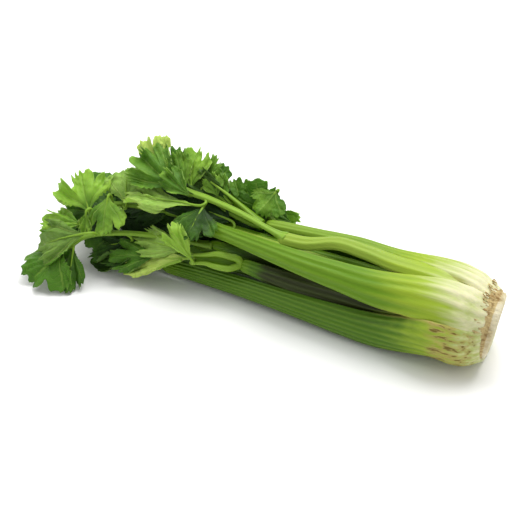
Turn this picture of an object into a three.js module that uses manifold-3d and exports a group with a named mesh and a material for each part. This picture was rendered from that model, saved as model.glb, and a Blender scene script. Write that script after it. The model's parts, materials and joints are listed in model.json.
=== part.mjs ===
// A head of celery, lying on a table. Millimetres, +Z up.
// The long axis runs along X: the cut butt is at the +X end and the leafy end at -X.
// Stations and points are written from the growth point: x = 0 is the middle of the butt's cut
// face, y = 0 the butt's middle, and z = 0 the table. The group is moved at the end, so that the part's
// origin is the middle of its bounding box, at table height.
import * as THREE from "three";
import { mergeVertices } from "three/addons/utils/BufferGeometryUtils.js";
import Module from "manifold-3d";

const wasm = await Module();
wasm.setup();

// ---- Driving dimensions ----
const CROWN_RADIUS = 26; // the cut butt
const CROWN_LENGTH = 7;
const CROWN_HEIGHT = 33; // the butt's middle above the table
const CROWN_FLARE = 1; // how much wider the butt is where the stalks begin
const CROWN_RIM = 1; // how far the edge of the cut face is softened
const CUT_SLOPES = { rearward: -0.12, upward: 0.17 }; // how the cut face leans out, per millimetre
const CLEARANCE = 0.4; // air kept between neighbouring pieces
const LEAF_THICKNESS = 1.2;
const LEAF_FOOT = 0.06; // where a leaflet's plate starts, as a share of its length
const LEAF_NARROWING = 0.42; // how much shorter a leaflet is at its sides than in its middle
const LOBE_CUT = { place: 0.34, width: 0.1, depth: 0.3 }; // the cut beside the middle lobe
const CUT_FILLING = 0.22; // how much of that depth a leaflet loses per millimetre of growth
const LEAF_RIPPLE = { height: 0.03, waves: 9 }; // the waves of a leaflet's margin

// ---- Fineness ----
const CROWN_SIDES = 32;
const STALK_SIDES = 14;
const STEPS_PER_STATION = 2;
const STEM_SIDES = 8;
const LEAF_COLUMNS = 12;
const LEAF_ROWS = 3;
const SLOPE_STEP = 0.01; // the step over which a leaflet's slope is measured
const MERGE_DISTANCE = 1e-3; // corners nearer than this are one corner

// ---- Finishes ----
const FINISHES = {
  crown: { color: 0xd9cfa4, roughness: 0.7 },
  stalk: { color: 0x79a93a, roughness: 0.45 },
  heart: { color: 0xb6c95c, roughness: 0.45 },
  stem: { color: 0x8fbb3f, roughness: 0.45 },
  leaf: { color: 0x4f8f2c, roughness: 0.5 },
};

// ---- The butt ----
// Near the butt every stalk lies on one of three nested ovals. Each row gives x, the outermost
// oval's half width, its half height, the height of its middle, and how much broader the stalks
// are than their share of the oval: there they crowd one another.
const BUTT = [
  [-7.4, 30, 29, 32.5, 1.15],
  [-14, 37.5, 34, 32.5, 1.12],
  [-24, 41.5, 36.5, 34, 1.08],
  [-45, 44, 36.5, 36.5, 1],
];

// How deep each ring's middle line lies inside the outermost oval, and how thick its stalks are,
// at those four rows.
const RINGS = {
  outer: { inset: [3, 3.5, 4, 4.5], depth: [6, 7, 8, 8.5] },
  inner: { inset: [10, 12, 13.5, 14.5], depth: [5.5, 6.5, 7, 7.5] },
  heart: { inset: [19, 24, 26, 27.5], depth: [5.5, 6.5, 7, 7] },
  crest: { inset: [8, 9, 9, 7.5], depth: [6, 7, 8, 9] },
};

// ---- Stalks ----
// "at" is where a stalk sits round its ring and "arc" how much of it it takes (degrees: 0 to the
// front, 90 up, 180 to the rear, 270 down). "wrap" is the angle its back curves through.
// Beyond the butt each station is x, y, z, the way its back faces, its width and its depth.
const STALKS = {
  stalk_front_low: {
    ring: "outer", at: -19, arc: 76, wrap: 84,
    stations: [
      [-90, -31, 18, 2, 33, 10],
      [-125, -28, 16.5, 4, 27.5, 9.5],
      [-165, -24, 16, 4, 22.5, 9],
      [-210, -19, 14.5, 6, 19.5, 8.5],
      [-250, -15.5, 12.5, 8, 17, 8],
      [-290, -13.5, 11, 8, 14, 7.5],
    ],
  },
  stalk_front_high: {
    ring: "outer", at: 52, arc: 64, wrap: 84,
    stations: [
      [-90, -25.5, 58, 48, 31, 10],
      [-125, -24, 58, 46, 24, 10],
      [-165, -22, 59.5, 46, 18.5, 9.5],
      [-210, -14.5, 59, 46, 13.5, 9],
      [-252, -8, 59, 48, 12, 8],
    ],
  },
  stalk_rear_high: {
    ring: "outer", at: 119, arc: 66, wrap: 80,
    stations: [
      [-90, 22.5, 58.5, 134, 27, 9],
      [-125, 24, 59, 130, 25, 9],
      [-165, 20, 59, 128, 22, 9],
      [-203, 16, 60, 122, 17, 8],
    ],
  },
  stalk_rear_low: {
    ring: "outer", at: 186, arc: 60, wrap: 80,
    stations: [
      [-90, 30, 31, 186, 31, 9],
      [-125, 32, 32, 184, 28, 9.5],
      [-165, 31, 32, 184, 26, 9],
      [-225, 32, 31, 186, 22, 9],
      [-272, 35, 30, 188, 18, 8],
    ],
  },
  stalk_under_rear: {
    ring: "outer", at: 261, arc: 80, wrap: 70,
    stations: [
      [-90, 15, 5, 256, 32, 9],
      [-125, 17, 4.9, 254, 28, 9],
      [-165, 18, 4.8, 256, 25, 9],
      [-240, 21, 4.2, 260, 20, 8.5],
      [-300, 23, 3.8, 264, 17, 8],
    ],
  },
  stalk_top: {
    ring: "crest", at: 91, arc: 46, wrap: 70,
    stations: [
      [-62, 0, 65, 92, 20, 11],
      [-84, 0, 65.5, 92, 17, 11],
      [-110, 2, 67, 92, 14, 11],
      [-135, 3, 67.5, 92, 13, 10.5],
      [-158, -5, 65.5, 80, 12.5, 10],
      [-181, -8, 66.5, 76, 12, 9],
    ],
  },
  stalk_front_inner: {
    ring: "inner", at: 18, arc: 68, wrap: 80,
    stations: [
      [-90, -19, 33, 14, 23, 8],
      [-125, -17.5, 32, 14, 21, 8],
      [-165, -16, 31, 16, 18, 8],
      [-209, -11, 31, 22, 12, 7],
    ],
  },
  stalk_under_front: {
    ring: "inner", at: 300, arc: 66, wrap: 70,
    stations: [
      [-90, -11, 9, 284, 23, 8.5],
      [-125, -9.5, 8, 280, 21, 8.5],
      [-165, -7, 7.5, 278, 20, 8],
      [-240, 0, 7, 276, 17, 8],
      [-310, 3, 6, 272, 14, 7.5],
    ],
  },
  stalk_rear_inner: {
    ring: "inner", at: 158, arc: 62, wrap: 80,
    stations: [
      [-90, 10, 46, 148, 20, 8],
      [-125, 10, 46, 146, 18, 8],
      [-180, 9, 48, 140, 16, 8],
      [-255, 10, 50, 130, 13, 7.5],
    ],
  },
  stalk_low_inner: {
    ring: "inner", at: 230, arc: 64, wrap: 80,
    stations: [
      [-90, 11, 25, 215, 19, 8],
      [-125, 12, 25, 212, 18, 8],
      [-190, 11, 26, 210, 16, 8],
      [-270, 8, 27, 205, 13, 7.5],
    ],
  },
  heart_stalk_1: {
    ring: "heart", at: 55, arc: 90, wrap: 60,
    stations: [
      [-90, -6, 49, 66, 12, 7],
      [-150, -3, 51, 70, 12, 7],
      [-235, 0, 53, 80, 10, 7],
    ],
  },
  heart_stalk_2: {
    ring: "heart", at: 175, arc: 90, wrap: 60,
    stations: [
      [-90, 0, 36, 180, 12, 7],
      [-150, 0, 36, 180, 12, 7],
      [-250, -2, 37, 170, 10, 7],
    ],
  },
  heart_stalk_3: {
    ring: "heart", at: 295, arc: 90, wrap: 60,
    stations: [
      [-90, -6, 25.5, 290, 12, 7],
      [-150, -5, 24, 285, 12, 7],
      [-250, -8, 24, 280, 10, 7],
    ],
  },
};

// Broad leaf stalks beyond a stalk's end: shallow channels, open to the front.
const SHEATHS = {
  sheath_front: {
    wrap: 200,
    stations: [
      [-214, -12, 34, 212, 5, 3],
      [-217, -13, 34, 212, 13, 3],
      [-221, -15, 34.5, 210, 18, 3],
      [-230, -19, 37, 208, 19, 2.8],
      [-240, -23, 37.5, 208, 13, 2.6],
      [-252, -27, 36, 208, 13, 2.4],
    ],
  },
  sheath_rear: {
    wrap: 130,
    stations: [
      [-205, 12.5, 61, 150, 10, 6],
      [-220, 16, 65, 170, 18, 4],
      [-240, 20, 70, 182, 22, 3],
      [-260, 24, 76, 185, 22, 2.5],
    ],
  },
};

// ---- Leaf stems: x, y, z, radius ----
const STEMS = {
  stem_top: [
    [-182.5, -7, 68, 4.6],
    [-192, -6, 71, 2.5],
    [-222, 0, 75, 2.5],
    [-253, 6, 76, 2.8],
    [-276, 8, 77, 3],
    [-298, 10, 83, 2.2],
  ],
  stem_rear: [
    [-204.5, 21, 57.5, 3.2],
    [-207, 26, 63, 2.4],
    [-205, 31, 72, 2],
    [-203, 33, 80, 1.8],
  ],
  stem_inner: [
    [-256.5, 10, 50, 3.4],
    [-295, 4, 53, 2.8],
    [-332, -6, 56, 2.6],
    [-352, -20, 52, 2.2],
  ],
  stem_front: [
    [-251.5, -3, 38, 3],
    [-285, -15, 41, 2.4],
    [-318, -26, 42, 2.4],
    [-346, -38, 38, 2],
    [-362, -47, 26, 1.6],
  ],
  stem_back: [
    [-273.5, 35, 30, 3.8],
    [-295, 38, 38, 3],
    [-318, 40, 46, 2.4],
  ],
  stem_low: [
    [-301.5, 19, 6, 3.6],
    [-322, 20, 12, 3],
    [-340, 22, 22, 2.4],
  ],
};

// ---- Leaflets ----
// Each row names the stem, sheath or stalk that carries the leaflet, the share of that route where
// it grows, and where its foot lies from there. Then come its heading (0 away from the butt, 90 to
// the rear), its rise, its length, where its upper side faces, half the angle of its fan, how far
// it droops along its length and how far its sides rise.
const LEAFLETS = {
  leaf_top_crest: ["stem_top", 1, [-9, 4, 2], 55, 35, 30, [0.2, -0.9, 0.5], 30, 12, 14],
  leaf_top_left: ["stem_top", 0.85, [0, -2, -3], 10, 25, 50, [0, -0.75, 0.65], 30, 16, -16],
  leaf_top_pale: ["stem_top", 0.65, [2, -10, -3], -5, -5, 68, [0, 0.1, 1], 17, 10, 50],
  leaf_top_mid: ["stem_top", 0.8, [0, 0, -2], 45, 45, 35, [0.4, -0.8, 0.4], 24, 14, -18],
  leaf_top_high: ["stem_top", 0.75, [-2, 4, 0], 70, 45, 37, [0, -0.9, 0.4], 36, 14, 16],
  leaf_top_right: ["stem_top", 0.7, [0, 10, 0], 100, 45, 30, [-0.4, -0.8, 0.4], 28, 14, -14],
  leaf_top_curl: ["sheath_rear", 0.5, [0, -2, -4], 5, 25, 48, [0, -0.75, 0.65], 18, 20, 220],
  leaf_top_tip: ["sheath_rear", 0.65, [0, -4, 2], 20, 25, 30, [0.2, -0.8, 0.6], 36, 12, -14],
  leaf_rear_tips: ["sheath_rear", 0.55, [0, 8, -6], 45, 45, 25, [0.2, -0.8, 0.6], 46, 10, 14],
  leaf_rear_crest: ["stem_rear", 0.3, [-7, 0, 0], 45, 65, 28, [0.1, -0.9, 0.4], 62, 14, 14],
  leaf_rear_fold: ["stem_rear", 1, [0, 0, 2], -60, -40, 25, [0, 0.8, -0.5], 62, -16, 20],
  leaf_rear_right: ["stem_rear", 0.6, [3, 2, -4], 150, -60, 28, [0.2, -0.7, 0.6], 36, 14, -16],
  leaf_centre_drape: ["stem_top", 0.6, [-1, -6, -4], -92, -25, 35, [0, -0.6, 0.8], 46, 40, -50],
  leaf_centre_light: ["sheath_front", 1, [5, -8, 4], 15, 44, 36, [0.1, -0.9, 0.3], 24, 14, 30],
  leaf_left_crest: ["stem_inner", 1, [-2, -2, -3], 45, 40, 40, [-0.1, -0.6, 0.8], 46, 14, -16],
  leaf_left_pale: ["stem_inner", 0.65, [6, -4, 1], 65, 45, 34, [0.1, -0.7, 0.7], 42, 18, -20],
  leaf_left_fold: ["stem_inner", 0.75, [0, -5, 12], -105, -48, 34, [-0.1, -0.8, 0.6], 46, 26, -36],
  leaf_left_drop: ["stem_inner", 1, [-3, -5, 1], -100, -60, 20, [0, -0.9, 0.4], 28, 8, 10],
  leaf_fold_dark: ["stem_inner", 1, [-4, -10, -10], -10, -5, 40, [0, -0.35, 0.93], 30, 20, -30],
  leaf_droop_pale: ["stem_front", 0.7, [-1, -10, 7], -12, -24, 50, [-0.2, -0.7, 0.7], 29, 24, -24],
  leaf_droop_left: ["stem_front", 1, [2, -5, 6], -50, -40, 44, [-0.3, -0.6, 0.7], 54, 20, -36],
  leaf_droop_right: ["stem_front", 0.95, [2, 0, 0], -110, -45, 39, [0.2, -0.7, 0.7], 25, 22, -30],
  leaf_front_veined: ["sheath_front", 1, [-7, 6, 2], 0, -3, 50, [0, -0.6, 0.8], 21, 12, -20],
  leaf_front_dark: ["stem_front", 0.25, [0, -12, -12], -8, -12, 44, [-0.1, -0.7, 0.7], 26, 18, -16],
  leaf_front_rim: ["sheath_front", 1, [-2, 0, 0], 0, -20, 68, [-0.1, -0.6, 0.8], 16, 16, 50],
  leaf_front_under: ["stem_front", 0.5, [3, 6, -12], -8, -20, 42, [-0.3, -0.5, 0.8], 30, 16, -14],
  leaf_back_high: ["stem_back", 0.6, [0, -2, 8], 35, 10, 55, [-0.2, 0.3, 0.9], 55, 24, -16],
  leaf_back_mid: ["stem_back", 0.1, [2, 5, 5], 105, 10, 40, [0, 0.2, 0.95], 56, 26, -16],
  leaf_back_left: ["stem_back", 1, [-4, -3, 3], 15, -10, 57, [-0.3, 0.2, 0.9], 50, 24, -16],
  leaf_back_low: ["stem_back", 0.8, [0, 3, -9], 40, -30, 57, [-0.4, 0.4, 0.8], 52, 22, -16],
  leaf_back_right: ["stem_back", 0, [5, 9, 0], 50, -30, 50, [-0.2, 0.6, 0.7], 52, 22, -16],
  leaf_low_left: ["stem_low", 1, [4, -2, 2], -10, -20, 54, [-0.3, 0, 0.9], 52, 18, -14],
  leaf_low_front: ["stalk_under_front", 1, [-4, -7, 5], -10, -10, 50, [-0.1, -0.2, 1], 46, 14, -10],
  leaf_inner_back: ["heart_stalk_1", 1, [3, 8, 5], 5, 5, 62, [0, -0.5, 0.85], 48, 14, -14],
  leaf_inner_left: ["stalk_rear_inner", 1, [-11, 0, -6], 10, 0, 76, [0, -0.4, 0.9], 40, 14, -14],
  leaf_inner_low: ["stalk_low_inner", 1, [-3, -3, 2], -5, -5, 62, [0, -0.4, 0.9], 42, 14, -14],
  leaf_inner_high: ["stem_top", 0.8, [0, 8, -10], 5, -5, 62, [0, -0.6, 0.8], 44, 14, -14],
};

// ---- Shaping helpers ----
const UP = new THREE.Vector3(0, 0, 1);
const radians = THREE.MathUtils.degToRad;

function smoothCurve(points) {
  return new THREE.CatmullRomCurve3(points, false, "catmullrom", 0.5);
}

// A row of stations as two curves that are read at the same share of the length:
// the route, and three more numbers that go with it.
function stationCurves(stations) {
  const route = smoothCurve(stations.map(([x, y, z]) => new THREE.Vector3(x, y, z)));
  const form = smoothCurve(stations.map((s) => new THREE.Vector3(...s.slice(3))));
  return { route, form };
}

// The four stations a stalk has near the butt, read off the nested ovals.
function buttStations({ ring, at, arc }) {
  const angle = radians(at);
  return BUTT.map(([x, halfWidth, halfHeight, middle, crowding], row) => {
    const a = halfWidth - RINGS[ring].inset[row];
    const b = halfHeight - RINGS[ring].inset[row];
    const width = (radians(arc) * crowding * (a + b)) / 2;
    return [x, -a * Math.cos(angle), middle + b * Math.sin(angle), at, width, RINGS[ring].depth[row]];
  });
}

// Every vertex of a closed cylinder is handed to place(angle, reach, share): the angle round it,
// 0 at the cap's middle to 1 at the wall, and the share of the length.
function shapedCylinder(sides, steps, place) {
  const geometry = new THREE.CylinderGeometry(1, 1, 1, sides, steps);
  const position = geometry.getAttribute("position");
  for (let i = 0; i < position.count; i += 1) {
    const [x, y, z] = [position.getX(i), position.getY(i), position.getZ(i)];
    const p = place(Math.atan2(-z, x), Math.min(1, Math.hypot(x, z)), 0.5 - y);
    position.setXYZ(i, p.x, p.y, p.z);
  }
  return geometry;
}

// A stalk: an ellipse bent to a crescent, swept along its route. Every section is square to X.
function stalkGeometry({ wrap, stations }, grow) {
  const { route, form } = stationCurves(stations);
  const steps = (stations.length - 1) * STEPS_PER_STATION;
  return shapedCylinder(STALK_SIDES, steps, (angle, reach, share) => {
    const { x: facing, y: width, z: depth } = form.getPoint(share);
    const back = new THREE.Vector3(0, -Math.cos(radians(facing)), Math.sin(radians(facing)));
    const side = new THREE.Vector3(0, back.z, -back.y);
    const bendRadius = width / radians(wrap);
    const across = reach * (width / 2 + grow) * Math.cos(angle);
    const out = reach * (depth / 2 + grow) * Math.sin(angle) + bendRadius;
    const p = route.getPoint(share);
    if (share === 1) p.x -= grow;
    p.addScaledVector(side, out * Math.sin(across / bendRadius));
    p.addScaledVector(back, out * Math.cos(across / bendRadius) - bendRadius);
    p.z = Math.max(p.z, 0);
    return p;
  });
}

// A leaf stem: a round tube along its route, with its radius read beside it.
function stemGeometry(stations, grow) {
  const { route, form } = stationCurves(stations.map(([x, y, z, radius]) => [x, y, z, radius, 0, 0]));
  const steps = (stations.length - 1) * STEPS_PER_STATION;
  return shapedCylinder(STEM_SIDES, steps, (angle, reach, share) => {
    const along = route.getTangent(share);
    const side = new THREE.Vector3().crossVectors(along, UP).normalize();
    const out = new THREE.Vector3().crossVectors(side, along);
    const radius = reach * (form.getPoint(share).x + grow);
    const p = route.getPoint(share);
    if (share === 1) p.addScaledVector(along, grow);
    p.addScaledVector(side, radius * Math.cos(angle));
    p.addScaledVector(out, radius * Math.sin(angle));
    p.z = Math.max(p.z, 0);
    return p;
  });
}

// How far a leaflet's margin is from its foot, as a share of its length: a long middle lobe and
// a shorter one on each side. "across" runs from -1 to 1.
function leafOutline(across, grow) {
  const fan = 1 - LEAF_NARROWING * across * across;
  const cut = Math.exp(-(((Math.abs(across) - LOBE_CUT.place) / LOBE_CUT.width) ** 2));
  return fan * (1 - (LOBE_CUT.depth - CUT_FILLING * grow) * cut);
}

// The route of the stem, sheath or stalk that carries a leaflet.
function carrierRoute(name) {
  const stations = STEMS[name] ?? (SHEATHS[name] ?? STALKS[name]).stations;
  return smoothCurve(stations.map(([x, y, z]) => new THREE.Vector3(x, y, z)));
}

// The direction with this heading and rise.
function direction(heading, rise) {
  const turn = radians(heading);
  const climb = radians(rise);
  return new THREE.Vector3(-Math.cos(turn), Math.sin(turn), Math.tan(climb)).normalize();
}

// The mid surface of a leaflet: a fan that is cupped across, waved at its margin and bent along
// its length, then laid so that its middle runs from its foot along its heading.
function leafSurface(leaflet, grow) {
  const [carrier, at, offset, heading, rise, length, face, spread, bend, cup] = leaflet;
  const foot = carrierRoute(carrier).getPoint(at).add(new THREE.Vector3(...offset));
  const along = direction(heading, rise);
  const up = new THREE.Vector3(...face);
  up.addScaledVector(along, -along.dot(up)).normalize();
  const side = new THREE.Vector3().crossVectors(along, up);
  const bendAngle = radians(bend);
  const cupAngle = radians(cup);
  const tipAt = new THREE.Vector2(Math.sin(bendAngle), Math.cos(bendAngle) - 1).divideScalar(bendAngle);
  const scale = length / tipAt.length();
  return (across, reach) => {
    const angle = radians(spread) * across;
    const radius = reach * leafOutline(across, grow);
    const a = radius * Math.cos(angle);
    const b = radius * Math.sin(angle);
    const ripple = LEAF_RIPPLE.height * reach * reach * Math.sin(LEAF_RIPPLE.waves * across);
    const lift = (1 - Math.cos(cupAngle * b)) / cupAngle + ripple;
    const at = new THREE.Vector2(
      (1 / bendAngle + lift) * Math.sin(bendAngle * a),
      (1 / bendAngle + lift) * Math.cos(bendAngle * a) - 1 / bendAngle,
    ).rotateAround(new THREE.Vector2(), -tipAt.angle());
    return foot.clone()
      .addScaledVector(along, scale * at.x)
      .addScaledVector(side, (scale * Math.sin(cupAngle * b)) / cupAngle)
      .addScaledVector(up, scale * at.y);
  };
}

// A leaflet: a box of the mid surface's two directions, given its thickness along the normal.
function leafletGeometry(leaflet, grow) {
  const surface = leafSurface(leaflet, grow);
  const geometry = new THREE.BoxGeometry(2, 1, 1, LEAF_COLUMNS, LEAF_ROWS, 1);
  const position = geometry.getAttribute("position");
  for (let i = 0; i < position.count; i += 1) {
    const across = position.getX(i);
    const reach = LEAF_FOOT + (1 - LEAF_FOOT) * (position.getY(i) + 0.5);
    const p = surface(across, reach);
    const outward = surface(across, reach + SLOPE_STEP).sub(p).normalize();
    const onward = surface(across + SLOPE_STEP, reach).sub(p);
    const normal = onward.cross(outward).normalize();
    const sideways = outward.clone().cross(normal);
    p.addScaledVector(normal, position.getZ(i) * (LEAF_THICKNESS + 2 * grow));
    p.addScaledVector(outward, position.getY(i) * 2 * grow);
    if (Math.abs(across) === 1) p.addScaledVector(sideways, across * grow);
    p.z = Math.max(p.z, 0);
    position.setXYZ(i, p.x, p.y, p.z);
  }
  return geometry;
}

// The butt's plate: a short drum with a softened rim and a flat cut face that leans.
function crownGeometry(grow) {
  const outline = [
    [0, -CROWN_LENGTH - grow],
    [CROWN_RADIUS + CROWN_FLARE + grow, -CROWN_LENGTH - grow],
    [CROWN_RADIUS + CROWN_FLARE + grow, -CROWN_LENGTH / 2],
    [CROWN_RADIUS + grow, -CROWN_RIM],
    [CROWN_RADIUS - CROWN_RIM + grow, 0],
    [0, 0],
  ].map(([radius, x]) => new THREE.Vector2(radius, x));
  const geometry = new THREE.LatheGeometry(outline, CROWN_SIDES);
  geometry.rotateZ(-Math.PI / 2);
  const position = geometry.getAttribute("position");
  for (let i = 0; i < position.count; i += 1) {
    const x = position.getX(i);
    const lean = CUT_SLOPES.rearward * position.getY(i) + CUT_SLOPES.upward * position.getZ(i);
    position.setX(i, x + lean * Math.max(0, 1 + x / CROWN_LENGTH));
  }
  return geometry.translate(0, 0, CROWN_HEIGHT);
}

// ---- Booleans ----
function solidOf(geometry) {
  const bare = geometry.clone();
  bare.deleteAttribute("normal");
  bare.deleteAttribute("uv");
  const merged = mergeVertices(bare, MERGE_DISTANCE);
  return new wasm.Manifold(new wasm.Mesh({
    numProp: 3,
    vertProperties: new Float32Array(merged.getAttribute("position").array),
    triVerts: new Uint32Array(merged.index.array),
  }));
}

function geometryOf(solid) {
  const mesh = solid.getMesh();
  const geometry = new THREE.BufferGeometry();
  geometry.setAttribute("position", new THREE.BufferAttribute(mesh.vertProperties, 3));
  geometry.setIndex(new THREE.BufferAttribute(mesh.triVerts, 1));
  geometry.computeVertexNormals();
  return geometry;
}

function largestBody(solid) {
  const bodies = solid.decompose();
  bodies.sort((one, other) => other.volume() - one.volume());
  return bodies[0];
}

function boxesMeet(one, other) {
  const a = one.boundingBox();
  const b = other.boundingBox();
  return [0, 1, 2].every((axis) => a.min[axis] <= b.max[axis] && b.min[axis] <= a.max[axis]);
}

// ---- Assembly ----
// In order of precedence: every piece gives way to the ones before it. make(grow) builds a
// piece, or with grow the slightly larger copy that is cut out of the pieces after it.
const pieces = [{ name: "crown", finish: FINISHES.crown, make: crownGeometry }];
for (const [name, { wrap, stations, ...place }] of Object.entries(STALKS)) {
  const stalk = { wrap, stations: [...buttStations(place), ...stations] };
  const finish = place.ring === "heart" ? FINISHES.heart : FINISHES.stalk;
  pieces.push({ name, finish, make: (grow) => stalkGeometry(stalk, grow) });
}
for (const [name, sheath] of Object.entries(SHEATHS)) {
  pieces.push({ name, finish: FINISHES.stem, make: (grow) => stalkGeometry(sheath, grow) });
}
for (const [name, stations] of Object.entries(STEMS)) {
  pieces.push({ name, finish: FINISHES.stem, make: (grow) => stemGeometry(stations, grow) });
}
for (const [name, leaflet] of Object.entries(LEAFLETS)) {
  pieces.push({ name, finish: FINISHES.leaf, make: (grow) => leafletGeometry(leaflet, grow) });
}

const celery = new THREE.Group();
celery.name = "celery";
const placed = [];
for (const { name, finish, make } of pieces) {
  let body = solidOf(make(0));
  let cutter = solidOf(make(CLEARANCE));
  for (const earlier of placed) {
    if (!boxesMeet(cutter, earlier.cutter)) continue;
    body = body.subtract(earlier.cutter);
    cutter = cutter.subtract(earlier.body);
  }
  body = largestBody(body);
  cutter = largestBody(cutter);
  placed.push({ body, cutter });
  const mesh = new THREE.Mesh(geometryOf(body), new THREE.MeshStandardMaterial(finish));
  mesh.name = name;
  celery.add(mesh);
}

// The origin goes to the middle of the bounding box, at table height.
const bounds = new THREE.Box3().setFromObject(celery);
const middle = bounds.getCenter(new THREE.Vector3());
for (const mesh of celery.children) {
  mesh.geometry.translate(-middle.x, -middle.y, -bounds.min.z);
}

export default celery;
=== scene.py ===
# %% [markdown]
# # A head of celery
# A head of celery lies on a white table. It is one plant cut off above its root: crescent-shaped
# stalks grow from a short crown and wrap round one another, and past their upper ends thin stems
# carry toothed leaves. The construction model already says where every piece lies. This lesson
# makes the surface that the eye sees: ribs, veins, teeth, colour and stains.

# %% Load the construction model
import json
import random
from math import atan2, cos, exp, hypot, pi, radians, sin, tan

import bmesh
import bpy
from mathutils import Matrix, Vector, noise

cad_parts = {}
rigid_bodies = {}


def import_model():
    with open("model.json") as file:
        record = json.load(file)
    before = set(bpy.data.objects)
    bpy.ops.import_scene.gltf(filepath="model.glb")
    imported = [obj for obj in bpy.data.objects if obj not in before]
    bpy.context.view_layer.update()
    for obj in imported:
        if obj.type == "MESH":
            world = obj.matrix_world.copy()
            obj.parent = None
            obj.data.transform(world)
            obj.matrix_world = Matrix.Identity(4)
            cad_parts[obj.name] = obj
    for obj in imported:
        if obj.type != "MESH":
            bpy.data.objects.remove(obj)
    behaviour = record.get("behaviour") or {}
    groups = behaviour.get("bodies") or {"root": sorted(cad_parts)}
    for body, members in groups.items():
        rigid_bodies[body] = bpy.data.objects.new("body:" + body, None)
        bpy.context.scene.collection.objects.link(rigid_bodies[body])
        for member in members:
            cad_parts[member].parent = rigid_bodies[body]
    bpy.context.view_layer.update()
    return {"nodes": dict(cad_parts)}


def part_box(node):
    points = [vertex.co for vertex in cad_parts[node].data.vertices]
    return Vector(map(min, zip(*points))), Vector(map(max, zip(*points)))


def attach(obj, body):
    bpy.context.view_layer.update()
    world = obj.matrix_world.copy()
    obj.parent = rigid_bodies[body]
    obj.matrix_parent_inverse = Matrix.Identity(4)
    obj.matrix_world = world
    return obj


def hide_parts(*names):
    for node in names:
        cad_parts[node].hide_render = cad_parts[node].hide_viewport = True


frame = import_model()
print("construction pieces:", len(frame["nodes"]))

# %% [markdown]
# Every size below is in millimetres and is counted from the growth point: x = 0 is the middle of
# the crown's cut face, y = 0 the crown's own middle and z = 0 the table. The construction model
# has its own origin, so the crown's box tells where the growth point is: the back of the crown,
# where the stalks begin, is one crown's length from it.

# %% Find the growth point
MM = 0.001
CROWN_LENGTH = 7
crown_low, crown_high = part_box("crown")
GROWTH_POINT = Vector((crown_low.x + CROWN_LENGTH * MM, (crown_low.y + crown_high.y) / 2, 0))


def place(point):
    """A point counted from the growth point in millimetres, as a point of the scene in metres."""
    return GROWTH_POINT + Vector(point) * MM


print("growth point:", GROWTH_POINT)

# %% [markdown]
# ## Camera and light
# A long lens from some distance keeps the stalks from looking stretched. The camera stands in
# front, turned a little to the crown's side, and looks down at about 35 degrees. One very large
# lamp overhead and a white surrounding make the soft light of a product table.

# %% Camera
CAMERA_TURN = radians(26)
CAMERA_HEIGHT = radians(35)
CAMERA_PLACE = (152, -723, 595)
FIELD_OF_VIEW = radians(25)
scene = bpy.context.scene


def add_object(name, data):
    """Puts a lens, a lamp or a mesh into the scene as an object of this name."""
    added = bpy.data.objects.new(name, data)
    scene.collection.objects.link(added)
    return added


lens = bpy.data.cameras.new("camera")
lens.sensor_width = 36
lens.angle = FIELD_OF_VIEW
camera = add_object("camera", lens)
camera.location = place(CAMERA_PLACE)
camera.rotation_euler = (pi / 2 - CAMERA_HEIGHT, 0, CAMERA_TURN)
scene.camera = camera
print("lens:", round(lens.lens, 1), "mm")

# %% Light
LAMP_TARGET = Vector((-0.05, 0, 0.03))
ROOM_BRIGHTNESS = 0.62


def softbox(name, point, size, power):
    """A square lamp, this many metres wide and of this power in watts, turned to the head."""
    lamp = bpy.data.lights.new(name, "AREA")
    lamp.shape = "SQUARE"
    lamp.size = size
    lamp.energy = power
    holder = add_object(name, lamp)
    holder.location = point
    holder.rotation_euler = (LAMP_TARGET - Vector(point)).to_track_quat("-Z", "Y").to_euler()


softbox("overhead", (0.1, 0.55, 1.3), 1.1, 21)
softbox("window", (-0.9, -0.2, 1.0), 0.7, 4)

world = bpy.data.worlds.new("white room")
world.use_nodes = True
room = world.node_tree.nodes["Background"].inputs
room["Color"].default_value = (1, 1, 1, 1)
room["Strength"].default_value = ROOM_BRIGHTNESS
scene.world = world
scene.view_settings.view_transform = "Standard"
print("lamps:", len(bpy.data.lights))

# %% Table
TABLE_HALF_WIDTH = 6
PAPER_WHITE = (0.93, 0.93, 0.92, 1)
PAPER_ROUGHNESS = 0.8

bm = bmesh.new()
bmesh.ops.create_grid(bm, x_segments=1, y_segments=1, size=TABLE_HALF_WIDTH)
sheet = bpy.data.meshes.new("table")
bm.to_mesh(sheet)
bm.free()
paper = bpy.data.materials.new("white paper")
paper.use_nodes = True
finish = paper.node_tree.nodes["Principled BSDF"].inputs
finish["Base Color"].default_value = PAPER_WHITE
finish["Roughness"].default_value = PAPER_ROUGHNESS
sheet.materials.append(paper)
table = add_object("table", sheet)
print("table:", table.name)

# %% [markdown]
# ## Shader maths as Python
# A procedural material is a sum of small parts: a stretched noise here, a mask there. Wiring
# dozens of Math nodes by hand hides the idea, so this class wraps one socket and lets Python's
# own signs add the nodes. `1 - mask` becomes a Subtract node, and so on.

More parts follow.
